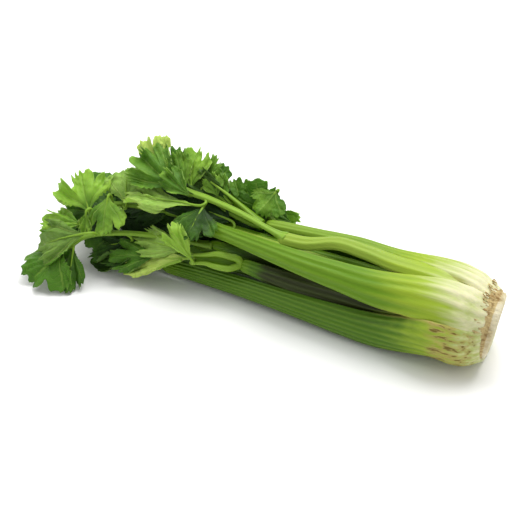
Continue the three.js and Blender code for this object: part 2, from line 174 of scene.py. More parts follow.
# %% A socket that can be used in a sum
class Wire:
    """An output socket of a node tree. Each operator adds the Math node that it names."""

    def __init__(self, tree, socket):
        self.tree = tree
        self.socket = socket

    def node(self, kind, settings=None, sockets=None, output=0):
        """Adds a node, sets it up, then fills its sockets with values or links."""
        made = self.tree.nodes.new("ShaderNode" + kind)
        for name, value in (settings or {}).items():
            setattr(made, name, value)
        for name, value in (sockets or {}).items():
            if isinstance(value, Wire):
                self.tree.links.new(value.socket, made.inputs[name])
            else:
                made.inputs[name].default_value = value
        return Wire(self.tree, made.outputs[output])

    def maths(self, operation, *values):
        """One Math node."""
        return self.node("Math", {"operation": operation}, dict(enumerate(values)))

    def __add__(self, other):
        return self.maths("ADD", self, other)

    def __radd__(self, other):
        return self.maths("ADD", other, self)

    def __sub__(self, other):
        return self.maths("SUBTRACT", self, other)

    def __rsub__(self, other):
        return self.maths("SUBTRACT", other, self)

    def __mul__(self, other):
        return self.maths("MULTIPLY", self, other)

    def __rmul__(self, other):
        return self.maths("MULTIPLY", other, self)

    def __truediv__(self, other):
        return self.maths("DIVIDE", self, other)

    def __pow__(self, other):
        return self.maths("POWER", self, other)

    def __abs__(self):
        return self.maths("ABSOLUTE", self)

    def ramp(self, low, high, to_low=0.0, to_high=1.0):
        """Runs smoothly from to_low to to_high while this value runs from low to high."""
        settings = {"interpolation_type": "SMOOTHSTEP"}
        values = {"Value": self, "From Min": low, "From Max": high, "To Min": to_low, "To Max": to_high}
        return self.node("MapRange", settings, values)

    def noise(self, stretch, detail):
        """Noise read at this place; stretch is its number of cells per metre along X, Y and Z."""
        there = self.node("Mapping", None, {"Vector": self, "Scale": stretch})
        return self.node("TexNoise", None, {"Vector": there, "Scale": 1.0, "Detail": detail})

    def attributes(self, *names):
        """The values of these names that the mesh carries at each of its points."""
        return [self.node("Attribute", {"attribute_name": name}, output=2) for name in names]

    def axis(self, number):
        """This place's x (0), y (1) or z (2)."""
        return self.node("SeparateXYZ", None, {"Vector": self}, output=number)

    def shaded(self, value):
        """This colour, darker or lighter by the factor value."""
        return self.node("HueSaturation", None, {"Color": self, "Value": value})


def blend(first, second, factor):
    """The colour that turns from the first into the second while the factor goes from 0 to 1."""
    first, second = (value if isinstance(value, Wire) else (*value, 1) for value in (first, second))
    return factor.node("Mix", {"data_type": "RGBA"}, {0: factor, 6: first, 7: second}, output=2)


def new_material(name, **constants):
    """An empty material: a wire with the object's coordinates, and the main shader node."""
    material = bpy.data.materials.new(name)
    material.use_nodes = True
    tree = material.node_tree
    shader = tree.nodes["Principled BSDF"]
    for socket, value in constants.items():
        shader.inputs[socket.replace("_", " ")].default_value = value
    where = tree.nodes.new("ShaderNodeTexCoord").outputs["Object"]
    return material, Wire(tree, where), shader


def connect(shader, colour, roughness, height, depth):
    """Links the wires that vary over the surface. Height is in shares of the depth in metres."""
    bump = height.node("Bump", None, {"Height": height, "Distance": depth, "Strength": 1.0})
    for socket, wire in (("Base Color", colour), ("Roughness", roughness), ("Normal", bump)):
        wire.tree.links.new(wire.socket, shader.inputs[socket])


print("shader maths ready")

# %% [markdown]
# ## How the stalks run
# A celery stalk is a gutter: a crescent in section, thick in the middle and thin at its margins.
# At the crown all the crescents lie on three nested ovals, and further up each goes its own way.
# So a stalk is told by a row of stations. Each one gives the middle line's x, y and z, the angle
# that its back faces (0 to the front, 90 up, 180 to the rear), its width and its depth.

# %% The nested ovals at the crown
# x, half width, half height, height of the middle, and how much the stalks crowd one another.
# The first oval lies a little way over the crown, so that the skins close round its flank.
OVALS = [
    (-4, 30, 29, 32.5, 1.15),
    (-14, 37.5, 34, 32.5, 1.12),
    (-24, 41.5, 36.5, 34, 1.08),
    (-45, 44, 36.5, 36.5, 1),
]

# How deep each ring lies inside the outermost oval, and how thick its stalks are, at those rows
RINGS = {
    "outer": ((3, 3.5, 4, 4.5), (6, 7, 8, 8.5)),
    "inner": ((10, 12, 13.5, 14.5), (5.5, 6.5, 7, 7.5)),
    "heart": ((19, 24, 26, 27.5), (5.5, 6.5, 7, 7)),
    "crest": ((8, 9, 9, 7.5), (6, 7, 8, 9)),
}


def oval_stations(ring, at, arc):
    """The four stations of a stalk at angle "at" of its ring, taking "arc" degrees of it."""
    insets, depths = RINGS[ring]
    angle = radians(at)
    stations = []
    for (x, half_width, half_height, middle, crowding), inset, depth in zip(OVALS, insets, depths):
        a = half_width - inset
        b = half_height - inset
        width = radians(arc) * crowding * (a + b) / 2
        stations.append((x, -a * cos(angle), middle + b * sin(angle), at, width, depth))
    return stations


print("ovals:", len(OVALS), "rings:", list(RINGS))

# %% The stations beyond the crown
# name: ring, at, arc, wrap (the angle that the back curves through), then the stations
STALKS = {
    "stalk_front_low": ("outer", -19, 76, 84, [
        (-90, -31, 18, 2, 33, 10), (-125, -28, 16.5, 4, 27.5, 9.5),
        (-165, -24, 16, 4, 22.5, 9), (-210, -19, 14.5, 6, 19.5, 8.5),
        (-250, -15.5, 12.5, 8, 17, 8), (-290, -13.5, 11, 8, 14, 7.5),
    ]),
    "stalk_front_high": ("outer", 52, 64, 84, [
        (-90, -25.5, 58, 48, 31, 10), (-125, -24, 58, 46, 24, 10),
        (-165, -22, 59.5, 46, 18.5, 9.5), (-210, -14.5, 59, 46, 13.5, 9),
        (-252, -8, 59, 48, 12, 8),
    ]),
    "stalk_rear_high": ("outer", 119, 66, 80, [
        (-90, 22.5, 58.5, 134, 27, 9), (-125, 24, 59, 130, 25, 9),
        (-165, 20, 59, 128, 22, 9), (-203, 16, 60, 122, 17, 8),
    ]),
    "stalk_rear_low": ("outer", 186, 60, 80, [
        (-90, 30, 31, 186, 31, 9), (-125, 32, 32, 184, 28, 9.5),
        (-165, 31, 32, 184, 26, 9), (-225, 32, 31, 186, 22, 9),
        (-272, 35, 30, 188, 18, 8),
    ]),
    "stalk_under_rear": ("outer", 261, 80, 70, [
        (-90, 15, 5, 256, 32, 9), (-125, 17, 4.9, 254, 28, 9),
        (-165, 18, 4.8, 256, 25, 9), (-240, 21, 4.2, 260, 20, 8.5),
        (-300, 23, 3.8, 264, 17, 8),
    ]),
    "stalk_top": ("crest", 91, 46, 70, [
        (-62, 0, 65, 92, 20, 11), (-84, 0, 65.5, 92, 17, 11),
        (-110, 2, 67, 92, 14, 11), (-135, 3, 67.5, 92, 13, 10.5),
        (-158, -5, 65.5, 80, 12.5, 10), (-181, -8, 66.5, 76, 12, 9),
    ]),
    "stalk_front_inner": ("inner", 18, 68, 80, [
        (-90, -19, 33, 14, 23, 8), (-125, -17.5, 32, 14, 21, 8),
        (-165, -16, 31, 16, 18, 8), (-216, -13, 33.5, 24, 10.5, 6),
    ]),
    "stalk_under_front": ("inner", 300, 66, 70, [
        (-90, -11, 9, 284, 23, 8.5), (-125, -9.5, 8, 280, 21, 8.5),
        (-165, -7, 7.5, 278, 20, 8), (-240, 0, 7, 276, 17, 8),
        (-310, 3, 6, 272, 14, 7.5),
    ]),
    "stalk_rear_inner": ("inner", 158, 62, 80, [
        (-90, 10, 46, 148, 20, 8), (-125, 10, 46, 146, 18, 8),
        (-180, 9, 48, 140, 16, 8), (-255, 10, 50, 130, 13, 7.5),
    ]),
    "stalk_low_inner": ("inner", 230, 64, 80, [
        (-90, 11, 25, 215, 19, 8), (-125, 12, 25, 212, 18, 8),
        (-190, 11, 26, 210, 16, 8), (-270, 8, 27, 205, 13, 7.5),
    ]),
    "heart_stalk_1": ("heart", 55, 90, 60, [
        (-90, -6, 49, 66, 12, 7), (-150, -3, 51, 70, 12, 7),
        (-235, 0, 53, 80, 10, 7),
    ]),
    "heart_stalk_2": ("heart", 175, 90, 60, [
        (-90, 0, 36, 180, 12, 7), (-150, 0, 36, 180, 12, 7),
        (-250, -2, 37, 170, 10, 7),
    ]),
    "heart_stalk_3": ("heart", 295, 90, 60, [
        (-90, -6, 25.5, 290, 12, 7), (-150, -5, 24, 285, 12, 7),
        (-250, -8, 24, 280, 10, 7),
    ]),
}

# Broad leaf stalks that open out beyond a stalk's end: wrap, then the stations
SHEATHS = {
    "sheath_front": (200, [
        (-214, -12, 34, 212, 5, 3), (-217, -13, 34, 212, 13, 3),
        (-221, -15, 34.5, 210, 18, 3), (-230, -19, 37, 208, 19, 2.8),
        (-240, -23, 37.5, 208, 13, 2.6), (-252, -27, 36, 208, 13, 2.4),
    ]),
    "sheath_rear": (130, [
        (-205, 12.5, 61, 150, 10, 6), (-220, 16, 65, 170, 18, 4),
        (-240, 20, 70, 182, 22, 3), (-260, 24, 76, 185, 22, 2.5),
    ]),
}

# Leaf stems: x, y, z and radius
STEMS = {
    "stem_top": [
        (-182.5, -7, 68, 4.6), (-192, -6, 71, 2.5),
        (-222, 0, 75, 2.5), (-253, 6, 76, 2.8),
        (-276, 8, 77, 3), (-298, 10, 83, 2.2),
    ],
    "stem_rear": [
        (-204.5, 21, 57.5, 3.2), (-207, 26, 63, 2.4),
        (-205, 31, 72, 2), (-203, 33, 80, 1.8),
    ],
    "stem_inner": [
        (-256.5, 10, 50, 3.4), (-295, 4, 53, 2.8),
        (-332, -6, 56, 2.6), (-352, -20, 52, 2.2),
    ],
    "stem_front": [
        (-251.5, -3, 38, 3), (-285, -15, 41, 2.4),
        (-318, -26, 42, 2.4), (-346, -38, 38, 2),
        (-362, -47, 26, 1.6),
    ],
    "stem_back": [
        (-273.5, 35, 30, 3.8), (-295, 38, 38, 3),
        (-318, 40, 46, 2.4),
    ],
    "stem_low": [
        (-301.5, 19, 6, 3.6), (-322, 20, 12, 3),
        (-340, 22, 22, 2.4),
    ],
}

print("stalks:", len(STALKS), "sheaths:", len(SHEATHS), "stems:", len(STEMS))

# %% [markdown]
# A smooth route goes through its stations. The Catmull-Rom spline does that with no handles to
# set: between two stations it only looks at one more station on each side.

# %% A smooth curve through points
def smooth_curve(points):
    """The curve through the points, as a function of a share: each step takes an equal part."""
    points = [Vector(point) for point in points]
    chain = [2 * points[0] - points[1], *points, 2 * points[-1] - points[-2]]

    def read(share):
        position = min(max(share, 0), 1) * (len(points) - 1)
        k = min(int(position), len(points) - 2)
        t = position - k
        p0, p1, p2, p3 = chain[k:k + 4]
        leave = (p2 - p0) / 2
        arrive = (p3 - p1) / 2
        start_part = p1 * (2 * t ** 3 - 3 * t ** 2 + 1) + leave * (t ** 3 - 2 * t ** 2 + t)
        return start_part + p2 * (3 * t ** 2 - 2 * t ** 3) + arrive * (t ** 3 - t ** 2)

    return read


def smooth_step(low, high, value):
    """0 up to low, 1 from high on, and a soft slope between them."""
    share = min(max((value - low) / (high - low), 0), 1)
    return share * share * (3 - 2 * share)


print("half way:", smooth_curve([(0, 0), (1, 0), (1, 1)])(0.5))

# %% [markdown]
# ## From a drum to a stalk
# Stalks, stems and the little leaf stalks all start as the same thing, a closed drum cut into
# rings. Bending a drum is simpler than lofting sections: its faces and its closed ends are
# there from the start, and one function says where each of its points goes.

# %% A drum, and how it is shaped
def drum(sides, rings):
    """A closed drum of radius 1 that stands from z = 0 to z = 1, cut into rings."""
    bm = bmesh.new()
    bmesh.ops.create_cone(bm, cap_ends=True, segments=sides, radius1=1, radius2=1, depth=1)
    bmesh.ops.translate(bm, vec=(0, 0, 0.5), verts=bm.verts)
    uprights = [e for e in bm.edges if abs(e.verts[0].co.z - e.verts[1].co.z) > 0.5]
    bmesh.ops.subdivide_edges(bm, edges=uprights, cuts=rings - 1, use_grid_fill=True)
    for thickness in (0.1, 0.4):  # two rings of faces inside each end, so that it can be rounded
        ends = [face for face in bm.faces if len(face.verts) > 4]
        bmesh.ops.inset_individual(bm, faces=ends, thickness=thickness)
    return bm


def shape_drum(bm, layers, bend):
    """Moves each point to bend(angle, reach, share) and stores the values that come with it.

    The angle goes round the drum, reach is 1 on its wall and 0 at an end's middle, and share
    runs along it. Each name in layers becomes a value that the mesh carries at its points.
    """
    stores = [bm.verts.layers.float.new(name) for name in layers]
    for vert in bm.verts:
        x, y, z = vert.co
        point, values = bend(atan2(y, x), min(1, hypot(x, y)), z)
        vert.co = place(point)
        vert.co.z = max(vert.co.z, 0)
        for store, value in zip(stores, values):
            vert[store] = value
    bmesh.ops.recalc_face_normals(bm, faces=bm.faces)


def add_drum(bm, sides, rings, layers, bend):
    """Shapes another drum and adds it to a bmesh that may hold some already."""
    extra = drum(sides, rings)
    shape_drum(extra, layers, bend)
    passing_mesh = bpy.data.meshes.new("passing")
    extra.to_mesh(passing_mesh)
    extra.free()
    bm.from_mesh(passing_mesh)
    bpy.data.meshes.remove(passing_mesh)


def make_piece(bm, name, materials, replaced=()):
    """Turns a bmesh into a finished piece that rides with the construction model."""
    mesh = bpy.data.meshes.new(name)
    bm.to_mesh(mesh)
    bm.free()
    mesh.shade_smooth()
    for material in materials:
        mesh.materials.append(material)
    piece = add_object(name, mesh)
    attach(piece, "root")
    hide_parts(*replaced)
    return piece


sample = drum(12, 4)
print("a drum with 12 sides and 4 rings has", len(sample.faces), "faces")
sample.free()

# %% [markdown]
# The ribs of a celery stalk are strings of tough tissue just under the skin of its back. They
# could be a bump in the material, but they cast small shadows and break the outline at the
# crown, so they are shaped. The inner side of the gutter stays smooth. The points of the drum
# are crowded onto the back, where the ribs are. A section is first laid out flat, with its width
# across and its thickness out, and is then wrapped round a circle to make the crescent.

# %% One section of a stalk
BACK_SHARE = 0.68  # how much of the drum's way round goes to the ribbed back
RIB_DRIFT = 0.12  # how far the ribs wander across the back
LUMP_HEIGHT = 0.12
DRIFT_LENGTH, SWELL_LENGTH, LUMP_LENGTH = 45, 30, 9
TIP_NARROWING = 0.45  # how much of its width a stalk loses in its last few millimetres
# A stalk with a tone below 0 is painted dark as shade; TIP_TONE lifts that painted shade at the stalk's end,
# where light reaches it.
TIP_TONE = 0.5  # a dark stalk turns green again at its end, where light reaches it


def crowd_to_back(angle):
    """Turns an even angle round the drum into one with most of its steps on the back."""
    turn = (angle / (2 * pi)) % 1
    if turn < BACK_SHARE:
        return pi * turn / BACK_SHARE
    return pi * (1 + (turn - BACK_SHARE) / (1 - BACK_SHARE))


def rough(*at):
    """Smooth noise at this place of its own space, about -1 to 1."""
    return noise.noise(Vector(at))


def stalk_bend(stations, wrap, ribs, rib_height, tone, worn, seed):
    """The shape of one stalk: a function for shape_drum."""
    route = smooth_curve([station[:3] for station in stations])
    form = smooth_curve([station[3:] for station in stations])

    def bend(angle, reach, share):
        turn = crowd_to_back(angle)
        facing, width, depth = form(share)
        facing = radians(facing)
        back = Vector((0, -cos(facing), sin(facing)))
        side = Vector((0, sin(facing), cos(facing)))
        middle = route(share)
        bend_radius = width / radians(wrap)
        flat = cos(turn)
        on_back = smooth_step(0, 0.5, sin(turn))
        # Nothing grown is even: the ribs drift, the stalk swells and its skin is a little lumpy.
        drift = 0.5 * rough(middle.x / DRIFT_LENGTH, flat * 1.5, seed)
        swell = rough(middle.x / SWELL_LENGTH, seed, 3)
        lumps = rough(middle.x / LUMP_LENGTH, flat * 3, seed)
        rib = 0.5 + 0.5 * cos(pi * ribs * (flat + RIB_DRIFT * drift))
        end = 1 - smooth_step(0.975, 1, share) ** 2 * TIP_NARROWING
        across = reach * end * width * (1 + 0.02 * swell) / 2 * flat
        out = reach * end * depth * (1 + 0.03 * swell) / 2 * sin(turn) + bend_radius
        out += reach * on_back * (rib_height * (1 + 0.6 * drift) * (rib - 0.5) + LUMP_HEIGHT * lumps)
        point = middle + side * out * sin(across / bend_radius)
        point += back * (out * cos(across / bend_radius) - bend_radius)
        # The painted shade of a dark stalk gives way to green over its last few millimetres.
        greener = max(tone, tone + (TIP_TONE - tone) * smooth_step(0.92, 0.99, share))
        return point, (rib * on_back, flat, greener, worn)

    return bend


print("a quarter turn goes to", round(crowd_to_back(pi / 2) / pi * 180), "degrees")

# %% [markdown]
# ## The stalks' skin
# A stalk is white where earth or its neighbours kept the light away, then yellow-green, then
# green. The change follows the strings, so its edge is drawn out into streaks. The skin is waxy:
# it shines softly and some light goes into the wet flesh below. Near the crown it is bruised
# brown where it was handled. Some light and shade is painted in as well: the stalks that lie
# high are painted paler, the rib crests carry a painted highlight, and the stalks deep inside
# are painted near black as shade.

# %% Stalk skin
CREAM = (0.71, 0.685, 0.43)
YELLOW_GREEN = (0.32, 0.44, 0.028)
LIVELY_GREEN = (0.115, 0.24, 0.005)
DEEP_GREEN = (0.062, 0.152, 0.006)
PALE_HEART = (0.27, 0.39, 0.04)
RIB_PALE_AND_HIGHLIGHT = (0.19, 0.31, 0.03)
BRUISE = (0.17, 0.12, 0.02)
TAN = (0.42, 0.35, 0.10)
# Near black brown: real brown stain on the front inner stalk, and painted shade on the stalks that lie deep
# inside.
STAIN_AND_SHADE_BROWN = (0.026, 0.034, 0.007)


def stalk_skin(name, subsurface):
    """The skin of a stalk: it reads the values rib, across, tone and worn of the mesh."""
    material, where, shader = new_material(
        name, Subsurface_Weight=subsurface, Subsurface_Radius=(0.6, 1.0, 0.2),
        Subsurface_Scale=0.003, Specular_IOR_Level=0.3, IOR=1.4)
    rib, across, tone, worn = where.attributes("rib", "across", "tone", "worn")
    from_cut = (GROWTH_POINT.x - where.axis(0)) / MM

    # White, yellow and green follow the distance from the cut, shifted by streaks, ribs and wear.
    # Above 58 mm over the table the white reaches further: painted light on the stalks that lie high
    # under the lamp overhead.
    streaks = where.noise((14, 260, 260), 3)
    clouds = where.noise((30, 40, 40), 2)
    # Along the ribs the white reaches further: partly the paler strings, partly a painted highlight on the
    # rib crests.
    reading = from_cut + (streaks - 0.5) * 46 + (clouds - 0.5) * 20 + rib * -9 + worn * 19
    reading = reading - (where.axis(2) / MM).ramp(58, 72, 0, 20)
    green = blend(DEEP_GREEN, LIVELY_GREEN, tone.ramp(0, 0.55))
    # A tone below 0 turns the green near black brown: painted shade on the stalks deep in the head, mixed
    # with real brown stain on the front inner stalk.
    green = blend(green, STAIN_AND_SHADE_BROWN, (tone * -1 + (streaks - 0.5) * 1.2).ramp(0.1, 0.9))
    green = blend(green, PALE_HEART, tone.ramp(0.55, 1))
    # The rib crests are lighter green: the strings are paler, and part of it is painted highlight, strongest
    # on the dark stalks.
    green = blend(green, RIB_PALE_AND_HIGHLIGHT, rib ** 2 * tone.ramp(-0.6, 0.1, 0.08, 0.32))
    colour = blend(green, YELLOW_GREEN, reading.ramp(100, 44) * 0.9)
    colour = blend(colour, CREAM, reading.ramp(50, -6))
    fibres = where.noise((20, 900, 900), 2)
    colour = colour.shaded((fibres - 0.5) * 0.25 + 0.98)

    # Tan and brown: the margins, the grooves by the crown, and one worn patch with torn spots.
    near = from_cut.ramp(48, 8)
    margin = abs(across).ramp(0.86, 0.97) * from_cut.ramp(110, 70) * from_cut.ramp(18, 44)
    patch = from_cut.ramp(50, 34) * from_cut.ramp(2, 12) * worn.ramp(0.4, 1)
    tears = where.noise((80, 380, 380), 4) + (clouds - 0.5) * 0.35
    bruised = (tears + patch * 0.06).ramp(0.58, 0.76) * (near * 0.1 + patch).ramp(0, 0.8)
    groove = (1 - rib) * near * clouds.ramp(0.4, 0.65) * 0.35
    tanned = margin * 0.5 + groove + patch * tears.ramp(0.3, 0.6) * 0.75
    colour = blend(colour, TAN, tanned.ramp(0, 1))
    colour = blend(colour, BRUISE, (bruised + margin * tears.ramp(0.5, 0.7) * 0.7).ramp(0, 1.1))

    roughness = 0.36 + streaks * 0.18 + near * 0.12
    height = fibres * 0.35 + where.noise((350, 600, 600), 2) * 0.3 - bruised * 1.2
    connect(shader, colour, roughness, height, 0.0005)
    return material


STALK_SKIN = stalk_skin("stalk skin", 0.12)
HEART_SKIN = stalk_skin("heart stalk skin", 0.25)
print("skins:", STALK_SKIN.name, "and", HEART_SKIN.name)

# %% Make the stalks
# name: ribs, rib height, tone (0 is deep green, 1 the pale green of the heart, below 0 painted
# shade in near black brown), how worn it is
STALK_LOOKS = {
    "stalk_front_low": (8, 0.75, 0.1, 1),
    "stalk_front_high": (5, 0.7, 0.5, 0.35),
    "stalk_rear_high": (7, 0.7, 0.75, 0.2),
    "stalk_rear_low": (7, 0.8, 0.3, 0.4),
    "stalk_under_rear": (7, 0.8, 0.25, 0.6),
    "stalk_top": (4, 0.6, 0.95, 0.6),
    # painted shade: this stalk lies in the shadow of the stalk above it, so it is painted dark, with some
    # real brown stain
    "stalk_front_inner": (5, 0.7, -0.9, 0.5),
    "stalk_under_front": (6, 0.7, 0.1, 0.4),
    "stalk_rear_inner": (5, 0.6, 0.3, 0.2),
    "stalk_low_inner": (5, 0.6, 0.3, 0.2),
    "heart_stalk_1": (4, 0.4, 0.9, 0),
    # painted shade: these two heart stalks are pale, but lie deep inside, so they are painted almost black
    "heart_stalk_2": (4, 0.4, -0.6, 0),
    "heart_stalk_3": (4, 0.4, -0.9, 0),
}
STALK_LAYERS = ("rib", "across", "tone", "worn")
OUTER_SIDES = 132
INNER_SIDES = 84
STALK_RINGS = 120
SEED_STEP = 7.3  # sets the stalks apart in the noise

for seed, (name, (ring, at, arc, wrap, stations)) in enumerate(STALKS.items()):
    stations = oval_stations(ring, at, arc) + stations
    bm = drum(OUTER_SIDES if ring == "outer" else INNER_SIDES, STALK_RINGS)
    shape_drum(bm, STALK_LAYERS, stalk_bend(stations, wrap, *STALK_LOOKS[name], seed * SEED_STEP))
    slot, skin = ("heart_stalk", HEART_SKIN) if ring == "heart" else ("stalk", STALK_SKIN)
    make_piece(bm, "ribbed_" + name, [skin], [name])
print("stalks made:", len(STALKS))

# %% [markdown]
# ## Sheaths and leaf stems
# Past the end of a stalk the gutter opens out into a thin sheath, or narrows to round leaf stems
# with a groove on top. They use the same drum: a sheath is a very thin stalk, and a stem is a
# tube whose radius is read along with its route.

# %% Stem skin
STEM_LIGHT = (0.22, 0.38, 0.035)

STEM_SKIN, where, shader = new_material(
    "stem skin", Subsurface_Weight=0.2, Subsurface_Radius=(0.6, 1.0, 0.2),
    Subsurface_Scale=0.002, Specular_IOR_Level=0.3, IOR=1.4)
rib, tone = where.attributes("rib", "tone")
clouds = where.noise((45, 60, 60), 3)
fibres = where.noise((60, 700, 700), 2)
green = blend(LIVELY_GREEN, STEM_LIGHT, (tone + clouds * 0.5 - 0.25).ramp(0, 1))
# Lighter ribs: paler strings, and a painted highlight on their crests.
green = blend(green, RIB_PALE_AND_HIGHLIGHT, rib * 0.3).shaded(fibres * 0.3 + 0.87)
connect(shader, green, clouds * 0.15 + 0.34, fibres * 0.5, 0.0003)
print("skin:", STEM_SKIN.name)

# %% A tube
def tube_bend(points, upward, tone, profile, step=0.01):
    """The shape of a tube along the points: profile(angle, share) is its radius and its rib."""
    route = smooth_curve(points)

    def bend(angle, reach, share):
        along = (route(share + step) - route(share - step)).normalized()
        side = along.cross(Vector(upward)).normalized()
        radius, rib = profile(angle, share)
        offset = side * cos(angle) + side.cross(along) * sin(angle)
        return route(share) + offset * (reach * radius), (rib, tone)

    return bend


def stem_profile(stations, ribs, groove, seed):
    """A stem has ribs, a thick foot, and a groove on top that is this share of its radius deep."""
    route = smooth_curve([station[:3] for station in stations])
    radii = smooth_curve([(station[3], 0) for station in stations])

    def profile(angle, share):
        rib = 0.5 + 0.5 * cos(ribs * angle)
        cut = groove * exp(-(((angle - pi / 2) / 0.6) ** 2))
        swell = 0.05 * noise.noise(route(share) / 14 + Vector((seed, 0, 0)))
        thick_foot = 0.25 * exp(-((share / 0.05) ** 2))
        end = 1 - smooth_step(0.96, 1, share) * 0.5
        return radii(share).x * (1 + swell + thick_foot + 0.07 * (rib - 0.5) - cut) * end, rib

    return profile


straw = tube_bend([(0, 0, 0), (-10, 0, 0)], (0, 0, 1), 0, lambda angle, share: (2, 0))
print("the top of a straw, half way:", straw(pi / 2, 1, 0.5)[0])

# %% Make the stems
TUBE_LAYERS = ("rib", "tone")
STEM_DRUM = (40, 90)  # sides and rings
ROOTED = 6  # how far a stem reaches back into the stalk that carries it

# name: ribs, groove and tone
STEM_LOOKS = {
    "stem_top": (7, 0.45, 0.75),
    "stem_rear": (6, 0.2, 0.6),
    "stem_inner": (7, 0.35, 0.4),
    "stem_front": (7, 0.4, 0.5),
    "stem_back": (7, 0.3, 0.4),
    "stem_low": (6, 0.3, 0.3),
}

for seed, (name, stations) in enumerate(STEMS.items()):
    ribs, groove, tone = STEM_LOOKS[name]
    x, y, z, radius = stations[0]
    stations = [(x + ROOTED, y, z - 1, radius), *stations[1:]]
    points = [station[:3] for station in stations]
    bm = drum(*STEM_DRUM)
    bend = tube_bend(points, (0, 0, 1), tone, stem_profile(stations, ribs, groove, seed))
    shape_drum(bm, TUBE_LAYERS, bend)
    make_piece(bm, "grooved_" + name, [STEM_SKIN], [name])
print("stems made:", len(STEMS))

# %% [markdown]
# A sheath's edge is swollen into a cord, which carries on as the leaf's stem. Its route is not
# typed in again: it goes along one margin of the sheath, round the tip and back along the other,
# and is read from the function that bent the sheath.

# %% Make the sheaths and their thick rims
SHEATH_LOOK = (6, 0.35, -0.2, 0)  # ribs, rib height, tone, how worn
SHEATH_DRUM = (72, 60)
RIM_DRUM = (12, 120)
# The rims are painted light green: a painted highlight where the thick rims catch the lamp overhead.
RIM_TONE = 0.75
RIM_RADII = {"sheath_front": 2.6, "sheath_rear": 1.4}
RIM_STEPS = 20

for seed, (name, (wrap, stations)) in enumerate(SHEATHS.items()):
    bm = drum(*SHEATH_DRUM)
    bend = stalk_bend(stations, wrap, *SHEATH_LOOK, 40 + seed)
    shape_drum(bm, STALK_LAYERS, bend)
    turn_back = 2 * pi * BACK_SHARE
    there = [bend(0, 1, 1 - step / RIM_STEPS)[0] for step in range(RIM_STEPS)]
    back_again = [bend(turn_back, 1, step / RIM_STEPS)[0] for step in range(1, RIM_STEPS + 1)]

    def rim_profile(angle, share, radius=RIM_RADII[name]):
        return radius * (0.45 + 0.75 * sin(pi * share)), 0.6

    rim = tube_bend(there + back_again, (0.1, -0.7, 0.7), RIM_TONE, rim_profile)
    add_drum(bm, *RIM_DRUM, TUBE_LAYERS, rim)
    make_piece(bm, "open_" + name, [STEM_SKIN], [name])
print("sheaths made:", len(SHEATHS))
